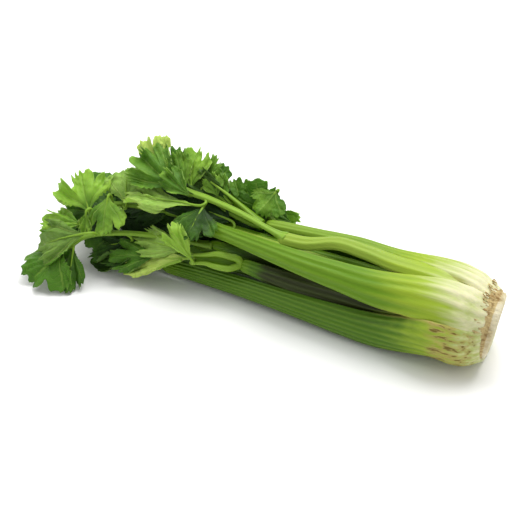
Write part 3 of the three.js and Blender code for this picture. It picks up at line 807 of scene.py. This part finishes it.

# %% [markdown]
# ## Leaflets
# A celery leaflet is a small fan. Its two sides open out from its foot, and its outer edge is
# cut into three lobes with blunt teeth. It could be drawn as an outline and filled, but then it
# would have no even rows of points to bend. So each leaflet starts as a grid: one direction runs
# across the fan and the other from the foot to the edge. The edge's distance from the foot says
# where the last row lies, and the whole fan is then cupped, pleated and bent.
#
# No two leaflets are cut alike, yet the lesson has to give the same head each time it runs. So a
# leaflet's name is the seed of its own dice, and a few that stand out get values of their own.

# %% Where the leaflets are
# name: what carries it and at which share of that, where its foot lies from there, its heading
# (0 away from the crown, 90 to the rear), its rise, its length, where its upper side faces, the
# half angle of its fan, how far it droops along its length, how far its sides rise, and its tone
# (0 dark, 1 bright yellow-green). A tone below 0 is painted shade on the leaflets deep in the
# head, and a tone above 1.1 is painted light, where light shines through the crest and catches the
# front rim.
LEAFLETS = {
    # painted light: the crest and the front rim have a tone of 1.9, which paints light shining through them
    "leaf_top_crest": ("stem_top", 1, (-9, 4, 2), 55, 35, 30, (0.2, -0.9, 0.5), 30, 12, 14, 1.9),
    "leaf_top_left": ("stem_top", 0.85, (0, -2, -3), 10, 25, 50, (0, -0.75, 0.65), 30, 16, -16, 0.58),
    # painted light: this fold has a tone of 1.2 for the light that falls on it
    "leaf_top_pale": ("stem_top", 0.65, (2, -10, -3), -5, -5, 68, (0, 0.1, 1), 17, 10, 50, 1.2),
    "leaf_top_mid": ("stem_top", 0.8, (0, 0, -2), 45, 45, 35, (0.4, -0.8, 0.4), 24, 14, -18, 0.75),
    "leaf_top_high": ("stem_top", 0.75, (-2, 4, 0), 70, 45, 37, (0, -0.9, 0.4), 36, 14, 16, 0.85),
    "leaf_top_right": ("stem_top", 0.7, (0, 10, 0), 100, 45, 30, (-0.4, -0.8, 0.4), 28, 14, -14, 0.7),
    "leaf_top_curl": ("sheath_rear", 0.5, (0, -2, -4), 5, 25, 48, (0, -0.75, 0.65), 18, 20, 220, 0.1),
    "leaf_top_tip": ("sheath_rear", 0.65, (0, -4, 2), 20, 25, 30, (0.2, -0.8, 0.6), 36, 12, -14, 0.75),
    "leaf_rear_tips": ("sheath_rear", 0.55, (0, 8, -6), 45, 45, 25, (0.2, -0.8, 0.6), 46, 10, 14, 0.6),
    "leaf_rear_crest": ("stem_rear", 0.3, (-7, 0, 0), 45, 65, 28, (0.1, -0.9, 0.4), 62, 14, 14, 0.3),
    "leaf_rear_fold": ("stem_rear", 1, (0, 0, 2), -60, -40, 25, (0, 0.8, -0.5), 62, -16, 20, 0.65),
    "leaf_rear_right": ("stem_rear", 0.6, (3, 2, -4), 150, -60, 28, (0.2, -0.7, 0.6), 36, 14, -16, 1),
    "leaf_centre_drape": ("stem_top", 0.6, (-1, -6, -4), -92, -25, 35, (0, -0.6, 0.8), 46, 40, -50, 0.15),
    "leaf_centre_light": ("sheath_front", 1, (5, -8, 4), 15, 44, 36, (0.1, -0.9, 0.3), 24, 14, 30, 1.15),
    "leaf_left_crest": ("stem_inner", 1, (-2, -2, -3), 45, 40, 40, (-0.1, -0.6, 0.8), 46, 14, -16, 1),
    "leaf_left_pale": ("stem_inner", 0.65, (6, -4, 1), 65, 45, 34, (0.1, -0.7, 0.7), 42, 18, -20, 0.9),
    "leaf_left_fold": ("stem_inner", 0.75, (0, -5, 12), -105, -48, 34, (-0.1, -0.8, 0.6), 46, 26, -36, 0.8),
    "leaf_left_drop": ("stem_inner", 1, (-3, -5, 1), -100, -60, 20, (0, -0.9, 0.4), 28, 8, 10, 0.95),
    "leaf_fold_dark": ("stem_inner", 1, (-4, -10, -10), -10, -5, 40, (0, -0.35, 0.93), 30, 20, -30, 0.85),
    "leaf_droop_pale": ("stem_front", 0.7, (-1, -10, 7), -12, -24, 50, (-0.2, -0.7, 0.7), 29, 24, -24, 0.45),
    "leaf_droop_left": ("stem_front", 1, (2, -5, 6), -50, -40, 44, (-0.3, -0.6, 0.7), 54, 20, -36, 0.4),
    "leaf_droop_right": ("stem_front", 0.95, (2, 0, 0), -110, -45, 39, (0.2, -0.7, 0.7), 25, 22, -30, 0.12),
    "leaf_front_veined": ("sheath_front", 1, (-7, 6, 2), 0, -3, 50, (0, -0.6, 0.8), 21, 12, -20, 0.95),
    "leaf_front_dark": ("stem_front", 0.25, (0, -12, -12), -8, -12, 44, (-0.1, -0.7, 0.7), 26, 18, -16, 0.4),
    "leaf_front_rim": ("sheath_front", 1, (-2, 0, 0), 0, -20, 68, (-0.1, -0.6, 0.8), 16, 16, 50, 1.9),
    "leaf_front_under": ("stem_front", 0.5, (3, 6, -12), -8, -20, 42, (-0.3, -0.5, 0.8), 30, 16, -14, 0),
    "leaf_back_high": ("stem_back", 0.6, (0, -2, 8), 35, 10, 55, (-0.2, 0.3, 0.9), 55, 24, -16, 0.4),
    "leaf_back_mid": ("stem_back", 0.1, (2, 5, 5), 105, 10, 40, (0, 0.2, 0.95), 56, 26, -16, 0.4),
    "leaf_back_left": ("stem_back", 1, (-4, -3, 3), 15, -10, 57, (-0.3, 0.2, 0.9), 50, 24, -16, 0.4),
    "leaf_back_low": ("stem_back", 0.8, (0, 3, -9), 40, -30, 57, (-0.4, 0.4, 0.8), 52, 22, -16, 0.4),
    "leaf_back_right": ("stem_back", 0, (5, 9, 0), 50, -30, 50, (-0.2, 0.6, 0.7), 52, 22, -16, 0.4),
    "leaf_low_left": ("stem_low", 1, (4, -2, 2), -10, -20, 54, (-0.3, 0, 0.9), 52, 18, -14, 0.1),
    "leaf_low_front": ("stalk_under_front", 1, (-4, -7, 5), -10, -10, 50, (-0.1, -0.2, 1), 46, 14, -10, 0.1),
    # painted shade: the leaflets deep inside the head are painted near black
    "leaf_inner_back": ("heart_stalk_1", 1, (3, 8, 5), 5, 5, 62, (0, -0.5, 0.85), 48, 14, -14, -0.2),
    "leaf_inner_left": ("stalk_rear_inner", 1, (-11, 0, -6), 10, 0, 76, (0, -0.4, 0.9), 40, 14, -14, -0.35),
    "leaf_inner_low": ("stalk_low_inner", 1, (-3, -3, 2), -5, -5, 62, (0, -0.4, 0.9), 42, 14, -14, -0.35),
    "leaf_inner_high": ("stem_top", 0.8, (0, 8, -10), 5, -5, 62, (0, -0.6, 0.8), 44, 14, -14, -0.1),
}

# More leaflets of the same kinds, which close the gaps between the large ones. Those with a tone
# below 0 are painted dark: painted shade in the gaps.
SMALL_LEAFLETS = {
    "left_behind": ("stem_inner", 0.85, (0, 17, -15), 5, 0, 48, (0, -0.6, 0.8), 60, 14, -14, 0.3),
    "left_low": ("stem_inner", 0.8, (10, 5, -22), -15, 0, 40, (0, -0.6, 0.8), 58, 14, -14, 0.1),
    "mid_behind": ("stem_back", 0.6, (-4, -20, 10), -5, -6, 62, (0, -0.6, 0.8), 32, 14, -14, -0.2),
    "crest_behind": ("stem_top", 0.9, (0, 11, -15), 25, 15, 47, (0, -0.8, 0.6), 56, 14, -14, 0.3),
    "top_behind": ("sheath_rear", 1, (-2, 4, -6), 45, 35, 27, (0, -0.8, 0.6), 70, 14, -14, 0.4),
    "centre_behind": ("heart_stalk_1", 1, (-9, 12, 7), 0, -10, 57, (0, -0.6, 0.8), 40, 14, -14, -0.3),
    "centre_low": ("stem_front", 0.1, (24, 12, 0), -2, 0, 60, (0, -0.6, 0.8), 24, 14, -14, -0.1),
    "rear_behind": ("sheath_rear", 0.4, (0, 11, -10), 15, 20, 34, (0, -0.7, 0.7), 50, 14, -14, 0.3),
    "front_behind": ("stem_front", 0.3, (-5, -3, -12), -10, -14, 47, (0, -0.6, 0.8), 30, 14, -14, 0),
    "droop_behind": ("stem_front", 0.9, (-3, 8, -2), -40, -35, 35, (-0.2, -0.6, 0.8), 50, 20, -30, 0.2),
    "gap_behind": ("stalk_rear_high", 1, (6, 6, -7), -5, 0, 57, (0, -0.5, 0.85), 34, 12, -14, -0.1),
    "left_gap": ("stem_inner", 1, (-3, 8, -8), -10, 0, 28, (0, -0.6, 0.8), 50, 12, -14, 0.4),
    "rear_gap": ("stalk_rear_high", 1, (16, 12, -1), -5, 0, 32, (0, -0.5, 0.85), 40, 12, -14, 0.4),
    "tip_front": ("sheath_rear", 0.8, (0, -8, 2), 40, 40, 22, (0.1, -0.8, 0.6), 36, 14, -14, 0.8),
    "crest_front": ("stem_top", 0.72, (0, -7, 1), 15, 22, 34, (0, -0.75, 0.65), 26, 14, -14, 0.65),
}
print("leaflets:", len(LEAFLETS), "and small ones:", len(SMALL_LEAFLETS))

# %% The outline of a leaflet
LEAF_FOOT = 0.05  # where a blade starts, as a share of its length
LOBE = 0.64  # where a side lobe's middle lies across the fan
FULLER = 1.05  # a living blade reaches a little past its construction piece
BROADER = 1.25  # and its fan opens wider
SIDE_TEETH = 6  # how many teeth each side has along its length
SIDE_TOOTH_DEPTH = 0.13
NOTCH_WIDTH = 0.06

# What sets some leaflets apart from the habit that their name gives them
SPECIAL_HABITS = {
    "leaf_top_crest": dict(notches=(0.02, 3), cuts=(0.3, 0), narrowing=0, teeth=9, tooth_depth=0.06),
    "leaf_left_pale": dict(cuts=(0.03, 0.04), narrowing=0.12, teeth=9, tooth_depth=0.05),
    "leaf_top_left": dict(narrowing=0.2),
    "leaf_left_crest": dict(narrowing=0.12, cuts=(0.34, 0.3), teeth=15, tooth_depth=0.17),
    "leaf_left_fold": dict(narrowing=0.2, cuts=(0.34, 0.3), pleat=0.03),
    "leaf_top_curl": dict(cuts=(0.02, 0.02), narrowing=0.1, teeth=7, tooth_depth=0.04, pleat=0, curl=0),
    "leaf_front_rim": dict(cuts=(0.03, 0.03), teeth=7, tooth_depth=0.04, pleat=0.02),
    "leaf_top_pale": dict(cuts=(0.12, 0.16), teeth=15, pleat=0.03, curl=0),
    "leaf_droop_pale": dict(cuts=(0.24, 0.3), pleat=-0.03, curl=0.04, narrowing=0.2),
    "leaf_centre_light": dict(cuts=(0.3, 0.22), pleat=0.05, curl=0, narrowing=0.3),
    "leaf_front_veined": dict(cuts=(0.2, 0.24), pleat=0.03, curl=0),
    "leaf_centre_drape": dict(narrowing=0.25, pleat=0.03),
}


def leaf_habit(name):
    """What makes one leaflet differ from the next: every value comes from its name."""
    dice = random.Random(name)
    habit = dict(
        notches=(-0.34 + dice.uniform(-0.04, 0.04), 0.34 + dice.uniform(-0.04, 0.04)),
        cuts=(dice.uniform(0.12, 0.3), dice.uniform(0.12, 0.3)),
        narrowing=dice.uniform(0.3, 0.42),
        teeth=dice.choice((11, 13, 15)),
        phase=dice.uniform(0, 1),
        tooth_depth=dice.uniform(0.11, 0.16),
        waves=dice.uniform(0.02, 0.05),
        pleat=dice.choice((-1, -1, 1)) * dice.uniform(0.03, 0.07),
        curl=dice.uniform(-0.12, 0.12),
        turn=dice.uniform(0, 6.28))
    return habit | SPECIAL_HABITS.get(name, {})


def leaf_edge(across, habit):
    """How far the margin is from the foot, as a share of the length; across is -1 to 1."""
    side = abs(across)
    fan = 1 - habit["narrowing"] * side ** 2.2 - 0.14 * smooth_step(0.84, 1, side)
    for notch, cut in zip(habit["notches"], habit["cuts"]):
        fan *= 1 - cut * exp(-(((across - notch) / NOTCH_WIDTH) ** 2))
    # The teeth come in uneven steps, with three small ones in each, and are deeper in places.
    wave = 7 * across + habit["turn"]
    beat = ((across + 0.07 * sin(wave) + 1) / 2 * habit["teeth"] + habit["phase"]) % 1
    tooth = 1 - abs(2 * beat ** 1.2 - 1) ** 0.95
    small_tooth = 1 - abs(2 * ((beat * 3 + 0.5) % 1) - 1)
    depth = habit["tooth_depth"] * (0.85 + 0.3 * cos(wave))
    return fan * (1 - depth * (1 - 0.8 * tooth - 0.2 * small_tooth))


# %% Where a leaflet grows
def carrier_point(carrier, share):
    """The place on a stem, sheath or stalk that a leaflet grows from."""
    if carrier in STEMS:
        stations = STEMS[carrier]
    elif carrier in SHEATHS:
        stations = SHEATHS[carrier][1]
    else:
        stations = STALKS[carrier][4]
    return smooth_curve([station[:3] for station in stations])(share)


def way(heading, rise):
    """The direction with this heading, where 0 leads away from the crown, and this rise."""
    turn = radians(heading)
    climb = radians(rise)
    return Vector((-cos(turn), sin(turn), tan(climb))).normalized()


print("the top stem ends at", carrier_point("stem_top", 1))

# %% The surface of a leaflet
def leaf_surface(foot, along, length, face, spread, bend, cup, habit):
    """A function of across (-1 to 1) and reach (0 to 1) that gives a point of the blade."""
    span = length * FULLER
    up = Vector(face)
    up = (up - along * up.dot(along)).normalized()
    side = along.cross(up)
    bend_angle = radians(bend)
    cup_angle = radians(cup)
    # A blade bent along an arc is shorter than its length and points down: both are put right,
    # so that its tip lies where the row of the table says.
    tip_along = sin(bend_angle) / bend_angle
    tip_up = (cos(bend_angle) - 1) / bend_angle
    scale = span / hypot(tip_along, tip_up)
    lean = -atan2(tip_up, tip_along)
    half_angle = radians(spread) * BROADER

    def surface(across, reach):
        saw = 1 - abs(2 * ((reach * SIDE_TEETH + habit["phase"]) % 1) - 1)
        saw *= smooth_step(0.3, 0.6, reach) * abs(across) ** 6
        widen = 0.55 + 0.45 * smooth_step(0, 0.7, reach) - SIDE_TOOTH_DEPTH * saw
        angle = half_angle * across * widen
        plain = 1 - habit["narrowing"] * abs(across) ** 2.2
        toothed = smooth_step(0.3, 0.95, reach)
        radius = reach * (leaf_edge(across, habit) * toothed + plain * (1 - toothed))
        a = radius * cos(angle)
        b = radius * sin(angle)

        # Pleats between the veins, a wavy margin, a curl, unevenness, and the veins' furrows
        from_vein = min(abs(abs(across) - LOBE), abs(across))
        ripple = habit["pleat"] * reach ** 1.5 * cos(pi * from_vein / 0.32)
        ripple += habit["waves"] * reach ** 3 * sin(15 * across + habit["turn"])
        ripple += habit["curl"] * smooth_step(0.5, 1, reach) * cos(2.4 * across + habit["turn"])
        ripple += 0.07 * rough(a * 3, b * 3, habit["turn"]) * reach
        ripple += 0.035 * rough(a * 11, b * 11, habit["turn"]) * reach
        ripple -= 0.018 * exp(-((from_vein * spread / 57 * reach / 0.03) ** 2)) * reach

        # Cupped across, then bent along
        lift = (1 - cos(cup_angle * b)) / cup_angle + ripple
        ring = 1 / bend_angle + lift
        flat = ring * sin(bend_angle * a)
        high = ring * cos(bend_angle * a) - 1 / bend_angle
        flat, high = (flat * cos(lean) - high * sin(lean),
                      flat * sin(lean) + high * cos(lean))
        point = foot + along * scale * flat + up * scale * high
        return point + side * scale * sin(cup_angle * b) / cup_angle

    return surface


print("habit of the crest:", leaf_habit("leaf_top_crest"))

# %% [markdown]
# A leaf is matt and pale below, glossy and darker above, and both sides show a net of veins.
# The veins are worked out from the blade's own directions, so they follow every fold: a main vein
# runs to each lobe, and side veins leave it at a slant towards the teeth.

# %% Leaf surface
# The palest leaf colour is painted light: light shining through the crest and the front rim.
LEAF_PAINTED_GLOW = (0.42, 0.56, 0.11)
# The darkest colours are near black: partly the leaves' own dark green, partly painted shade for the
# leaflets deep in the head.
UPPER_DARK = (0.012, 0.040, 0.004)
UPPER_MID = (0.068, 0.178, 0.012)
UPPER_BRIGHT = (0.26, 0.46, 0.045)
UPPER_VEIN = (0.24, 0.38, 0.06)
UNDER_DARK = (0.035, 0.085, 0.012)
UNDER_MID = (0.14, 0.255, 0.04)
UNDER_BRIGHT = (0.28, 0.46, 0.08)
UNDER_VEIN = (0.32, 0.44, 0.09)


def leaf_skin(name, dark, middle, bright, vein_colour, vein_share, raised):
    """One side of the leaves. It reads the values across, reach and tone of the mesh."""
    material, where, shader = new_material(
        name, Subsurface_Weight=0.3, Subsurface_Radius=(0.7, 1.0, 0.25),
        Subsurface_Scale=0.002, Specular_IOR_Level=0.25, IOR=1.4)
    across, reach, tone = where.attributes("across", "reach", "tone")
    # Main veins, the sprigs that leave them at a slant, and the net in between
    side = abs(across)
    in_side_lobe = side.maths("GREATER_THAN", side, 0.34)
    from_main = abs(side - in_side_lobe * LOBE)
    main = (from_main * reach).ramp(0.03, 0.004) * reach.ramp(1.0, 0.7, 0.2, 1.0)
    wander = (where.noise((160, 160, 160), 2) - 0.5) * 0.12
    along_vein = (reach - from_main * 0.75 + wander) * 9
    beat = along_vein.maths("FRACT", along_vein)
    sprigs = abs(beat - 0.5).ramp(0.1, 0.0) * from_main.ramp(0.42, 0.2)
    net = where.node("TexVoronoi", {"feature": "DISTANCE_TO_EDGE"}, {"Vector": where, "Scale": 700.0})
    mesh_veins = net.ramp(0.14, 0.02)
    veins = (main * 0.8 + sprigs * 0.5 + mesh_veins * 0.1).ramp(0, 1)

    clouds = where.noise((70, 70, 70), 3)
    patches = where.noise((26, 26, 26), 1)
    # The tone carries painted light and shade: below 0 it paints the shade deep in the head, and above 1.1
    # the light shining through a blade.
    reading = tone + (clouds - 0.5) * 0.6 + (patches - 0.5) * 0.8 + (reach - 0.6) * 0.25
    colour = blend(dark, middle, reading.ramp(-0.1, 0.5))
    colour = blend(colour, bright, reading.ramp(0.5, 1.1))
    colour = blend(colour, LEAF_PAINTED_GLOW, reading.ramp(1.1, 1.9))
    colour = blend(colour, vein_colour, veins * vein_share * reading.ramp(-0.2, 0.6))
    height = veins * raised + mesh_veins * -0.1 * raised + clouds * 0.5
    connect(shader, colour, 0.40 + clouds * 0.16 - veins * 0.05, height, 0.0008)
    return material


UPPER_SIDE = leaf_skin("leaf upper side", UPPER_DARK, UPPER_MID, UPPER_BRIGHT, UPPER_VEIN, 0.5, -0.6)
UNDER_SIDE = leaf_skin("leaf underside", UNDER_DARK, UNDER_MID, UNDER_BRIGHT, UNDER_VEIN, 0.55, 1.0)
print("leaf sides:", UPPER_SIDE.name, UNDER_SIDE.name)

# %% Make the leaflets
LARGE_GRID = (128, 24)
SMALL_GRID = (72, 16)
BLADE_THICKNESS = 0.0005
SHOWS_UNDERSIDE = {"leaf_top_pale", "leaf_left_pale", "leaf_droop_pale", "leaf_rear_fold",
                   "leaf_front_veined", "leaf_top_curl"}


def leaf_grid(surface, columns, rows, tone):
    """A grid laid on the surface: its first row is the foot, its last row the margin."""
    bm = bmesh.new()
    bmesh.ops.create_grid(bm, x_segments=columns, y_segments=rows, size=1)
    stores = [bm.verts.layers.float.new(name) for name in ("across", "reach", "tone")]
    for vert in bm.verts:
        across = vert.co.x
        reach = LEAF_FOOT + (1 - LEAF_FOOT) * (vert.co.y + 1) / 2
        vert.co = place(surface(across, reach))
        vert.co.z = max(vert.co.z, BLADE_THICKNESS * 1.2)
        for store, value in zip(stores, (across, reach, tone)):
            vert[store] = value
    return bm


BLADES = {}
for name, row in (LEAFLETS | SMALL_LEAFLETS).items():
    carrier, share, offset, heading, rise, length, face, spread, bend, cup, tone = row
    stem = carrier_point(carrier, share)
    foot = stem + Vector(offset)
    along = way(heading, rise)
    surface = leaf_surface(foot, along, length, face, spread, bend, cup, leaf_habit(name))
    BLADES[name] = (surface, stem, foot, Vector(face).normalized())
    grid, replaced = (LARGE_GRID, [name]) if name in LEAFLETS else (SMALL_GRID, [])
    sides = [UPPER_SIDE, UNDER_SIDE]
    if name in SHOWS_UNDERSIDE:
        sides.reverse()
    bm = leaf_grid(surface, *grid, tone)
    piece = make_piece(bm, "blade_" + name.removeprefix("leaf_"), sides, replaced)
    wall = piece.modifiers.new("thickness", "SOLIDIFY")
    wall.thickness = BLADE_THICKNESS
    wall.offset = -1
    wall.material_offset = 1
    wall.material_offset_rim = 1
print("blades made:", len(BLADES))

# %% [markdown]
# A blade doesn't float: a little stalk leads from the stem that carries it to its foot and goes
# on under it as the midrib, thinner and thinner. Each is a narrow drum along six points: on the
# stem, half way, at the foot, and three under the blade.

# %% Make the leaflets' own stalks
STALKLET_RADIUS = 1.3
STALKLET_DRUM = (10, 30)
STALKLET_TONE = 0.7
MIDRIB_DEPTH = 0.6  # how far below the blade the midrib's middle lies


def stalklet_profile(angle, share):
    """A leaflet's own stalk tapers towards its tip and is closed there."""
    taper = (1 - 0.8 * smooth_step(0.25, 1, share)) * min(1, 40 * (1.02 - share))
    return STALKLET_RADIUS * taper, 0.5


def add_stalklet(bm, points):
    """Adds one of the little stalks, or a rolled margin that looks like one."""
    bend = tube_bend(points, (0.2, 0.3, 1), STALKLET_TONE, stalklet_profile, 0.02)
    add_drum(bm, *STALKLET_DRUM, TUBE_LAYERS, bend)


stalklets = bmesh.new()
for name in LEAFLETS:
    surface, stem, foot, face = BLADES[name]
    under = face * (MIDRIB_DEPTH if name in SHOWS_UNDERSIDE else -MIDRIB_DEPTH)
    half_way = (stem + foot) / 2 + (foot - surface(0, 0.3)) * 0.25
    midrib = [surface(0, reach) + under for reach in (0.25, 0.5, 0.75)]
    add_stalklet(stalklets, [stem, half_way, foot, *midrib])

# The front leaflet's lower margin is rolled into a pale cord that goes on from the sheath's rim.
rolled_edge = BLADES["leaf_front_rim"][0]
add_stalklet(stalklets, [rolled_edge(-1, reach) for reach in (0.15, 0.4, 0.7, 0.98)])
print("points of the little stalks:", len(stalklets.verts))
make_piece(stalklets, "leaf_stalklets", [STEM_SKIN])

# %% [markdown]
# ## The crown
# The crown is the short stump that held the root. The knife left a flat cream face, on which the
# stalks' ends show as nested crescents, and its side is a rough brown ring where old leaf bases
# came away. It is a profile turned round the long axis, then roughened.

# %% Crown skin
CUT_PALE = (0.70, 0.64, 0.45)
CUT_SHADED = (0.60, 0.53, 0.32)
CUT_CREASE = (0.42, 0.29, 0.13)
CORK_LIGHT = (0.54, 0.42, 0.19)
CORK_DARK = (0.27, 0.16, 0.05)

CROWN_SKIN, where, shader = new_material(
    "crown skin", Subsurface_Weight=0.15, Subsurface_Radius=(1.0, 0.8, 0.4),
    Subsurface_Scale=0.003, IOR=1.4)
cork, ring = where.attributes("cork", "ring")
clouds = where.noise((90, 90, 90), 4)
grain = where.noise((300, 700, 700), 3)
pale = blend(CUT_PALE, CUT_SHADED, clouds.ramp(0.4, 0.7))
pale = blend(pale, CUT_CREASE, ring * 0.55)
brown = blend(CORK_LIGHT, CORK_DARK, (clouds * 0.5 + grain * 0.5).ramp(0.44, 0.64))
colour = blend(pale, brown, (cork + (clouds - 0.5) * 0.8).ramp(0.35, 0.7))
connect(shader, colour, 0.6 + grain * 0.25, grain * 0.8 + clouds * 0.4 - ring * 0.4, 0.0012)
print("skin:", CROWN_SKIN.name)

# %% Turn the crown
CROWN_HEIGHT = 33
CROWN_BACK = -CROWN_LENGTH
# Radius and x, from the middle of the cut face over its rounded rim to the middle of the back
CROWN_OUTLINE = [(0, 0), (24.5, 0), (26, -1), (27, -3), (30, CROWN_BACK - 0.3), (0, CROWN_BACK)]
CRESCENT_RADII = (8, 14.5, 20.5)  # where the stalks' ends meet on the cut face
CUT_SLOPES = (-0.12, 0.17)  # how the cut face leans out, rearward and upward, per millimetre
FACE_CUTS, FLANK_CUTS, TURN_STEPS = 28, 7, 160  # how finely the outline and its turn are cut


def lean_out(point):
    """Moves a point of the crown along X, so that the cut leans and the back stays in place."""
    leaning = point.y * CUT_SLOPES[0] + point.z * CUT_SLOPES[1]
    point.x += leaning * max(0, 1 + point.x / CROWN_LENGTH)


bm = bmesh.new()
dots = [bm.verts.new((x, 0, radius)) for radius, x in CROWN_OUTLINE]
edges = [bm.edges.new(pair) for pair in zip(dots, dots[1:])]
bmesh.ops.subdivide_edges(bm, edges=edges[:1], cuts=FACE_CUTS)
bmesh.ops.subdivide_edges(bm, edges=edges[3:4], cuts=FLANK_CUTS)
bmesh.ops.spin(bm, geom=bm.verts[:] + bm.edges[:], axis=(1, 0, 0), cent=(0, 0, 0),
               steps=TURN_STEPS, angle=2 * pi, use_merge=True)
bmesh.ops.remove_doubles(bm, verts=bm.verts, dist=0.0001)
cork_store = bm.verts.layers.float.new("cork")
ring_store = bm.verts.layers.float.new("ring")
for vert in bm.verts:
    x, y, z = vert.co
    radius = hypot(y, z)
    # The creases between the crescents run round the face in five waves, and not quite evenly.
    nested = radius + 1.6 * sin(5 * atan2(z, y) + radius / 3) + 1.2 * rough(y / 6, z / 6, x / 5)
    crease = max(exp(-(((nested - middle) / 0.8) ** 2)) for middle in CRESCENT_RADII)
    on_face = smooth_step(-1.5, -0.2, x)
    vert[cork_store] = max(smooth_step(-1.8, -4.2, x), 0.42 * smooth_step(-0.2, -1.2, x))
    vert[ring_store] = crease * on_face
    # The flank is crusty. On the face only the creases and a little grain go in.
    crust = noise.fractal(vert.co / 2.2, 1, 2, 3)
    outward = Vector((0, y, z)).normalized() if radius > 0.01 else Vector()
    vert.co += outward * (1.3 * crust * (1 - on_face))
    vert.co.x += (-0.35 * crease - 0.25 * abs(crust)) * on_face
    lean_out(vert.co)
    vert.co = place(vert.co + Vector((0, 0, CROWN_HEIGHT)))
bmesh.ops.recalc_face_normals(bm, faces=bm.faces)
print("points of the crown:", len(bm.verts))
make_piece(bm, "cut_crown", [CROWN_SKIN], ["crown"])

# %% [markdown]
# Where the oldest leaf bases were pulled off, short torn fibres stick out round the stump. They
# are tiny tapered drums, thrown round the ring with a seed so that they always fall the same way.

# %% Torn fibres
FIBRES = 190
FIBRE_RING = 29.2  # radius of the ring that they grow from
FIBRE_DRUM = (6, 5)


def fibre_bend(points, radius):
    """The shape of one torn fibre: a pointed tube through three points."""
    route = smooth_curve(points)

    def bend(angle, reach, share):
        size = reach * radius * (1 - 0.85 * share)
        return route(share) + Vector((0, cos(angle), sin(angle))) * size, (1, 0)

    return bend


dice = random.Random("fibres")
fibres = bmesh.new()
for number in range(FIBRES):
    angle = dice.uniform(0, 2 * pi)
    outward = Vector((0, cos(angle), sin(angle)))
    x = dice.uniform(-12, -6.5)
    start = outward * (FIBRE_RING + dice.uniform(-1, 0.6) - (x + CROWN_LENGTH)) + Vector((x, 0, 0))
    end = start + Vector((dice.uniform(1.5, 4.5), 0, 0)) + outward * dice.uniform(-3.5, -0.8)
    middle = (start + end) / 2 + outward * dice.uniform(0, 0.5)
    points = [start, middle, end]
    for point in points:
        lean_out(point)
        point.z += CROWN_HEIGHT
    add_drum(fibres, *FIBRE_DRUM, ("cork", "ring"), fibre_bend(points, dice.uniform(0.35, 0.8)))
make_piece(fibres, "torn_fibres", [CROWN_SKIN])
print("torn fibres:", FIBRES)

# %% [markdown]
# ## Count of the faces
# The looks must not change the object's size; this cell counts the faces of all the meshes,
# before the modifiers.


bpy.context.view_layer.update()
faces = sum(len(o.data.polygons) for o in bpy.data.objects if o.type == "MESH")
print("faces before the modifiers:", faces)
